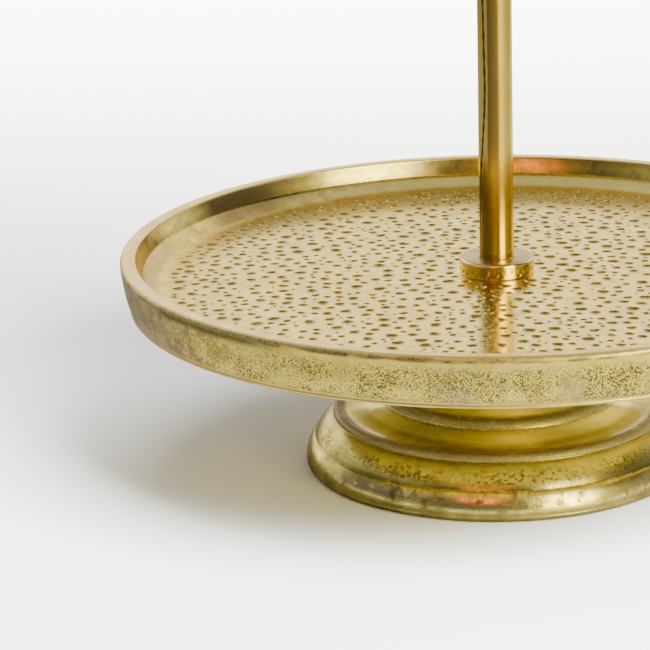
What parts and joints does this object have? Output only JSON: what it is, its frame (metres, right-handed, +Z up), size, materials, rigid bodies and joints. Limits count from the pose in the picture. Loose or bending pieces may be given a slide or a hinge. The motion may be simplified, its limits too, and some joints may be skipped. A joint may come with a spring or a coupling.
{
  "type": "tiered cake stand",
  "caption": "Tiered cake stand: rimmed round plates on a central tube stem, a stepped pedestal foot below and a carrying ring on top, in antique gold metal.",
  "frame": {"origin": "centre of the stand's base, on the surface that it rests on", "axes": "+Z up along the stem, +X to the right and +Y to the back as seen from the front; the carrying ring lies in the XZ plane"},
  "size_m": [0.35, 0.35, 0.4742],
  "materials": {
    "plate_gold": "cast aluminium, antique pale-gold plating, pitted and rubbed back",
    "foot_gold": "cast and turned aluminium, antique gold plating with grey oxidised edges",
    "collar_gold": "turned, polished antique gold plating",
    "tube_gold": "thin steel tube, polished antique gold plating",
    "handle_gold": "cast aluminium, antique gold plating",
    "plug_brass": "turned",
    "zinc_steel": "zinc plated",
    "washer_fibre": "dark pressed fibre",
    "pad_rubber": "soft, matte"
  },
  "bodies": {
    "base": {"foot_pads": "pad_rubber", "foot_casting": "foot_gold", "base_bolt": "zinc_steel", "base_lock_washer": "zinc_steel", "base_flat_washer": "zinc_steel", "foot_gasket": "washer_fibre", "lower_plate": "plate_gold", "lower_collar": "collar_gold", "lower_stem_tube": "tube_gold", "lower_stem_bottom_plug": "plug_brass", "lower_stem_top_plug": "plug_brass", "support_collar": "collar_gold", "upper_plate_gasket": "washer_fibre", "upper_plate": "plate_gold"},
    "upper_collar_washer": {"upper_collar_washer": "washer_fibre"},
    "upper_stem": {"upper_collar": "collar_gold", "upper_stem_tube": "tube_gold", "upper_stem_bottom_plug": "plug_brass", "joining_stud": "zinc_steel", "upper_stem_top_plug": "plug_brass"},
    "handle_washer": {"handle_washer": "washer_fibre"},
    "handle": {"handle_ferrule": "collar_gold", "handle_stud": "zinc_steel", "ring_handle": "handle_gold"}
  },
  "joints": [
    {"name": "upper_stem_rise", "type": "slide", "parent": "base", "child": "upper_collar_washer", "axis": [0, 0, 1], "range_m": [0, 0.01]},
    {"name": "upper_stem_unscrew", "type": "hinge", "parent": "upper_collar_washer", "child": "upper_stem", "pos_m": [0, 0, 0.281], "axis": [0, 0, 1], "range_deg": [0, 2880]},
    {"name": "handle_rise", "type": "slide", "parent": "upper_stem", "child": "handle_washer", "axis": [0, 0, 1], "range_m": [0, 0.008]},
    {"name": "handle_unscrew", "type": "hinge", "parent": "handle_washer", "child": "handle", "pos_m": [0, 0, 0.3968], "axis": [0, 0, 1], "range_deg": [0, 2880]}
  ],
  "couplings": [
    {"joint": "upper_stem_unscrew", "follows": "upper_stem_rise", "rad_per_m": 5026.5},
    {"joint": "handle_unscrew", "follows": "handle_rise", "rad_per_m": 6283.2}
  ]
}
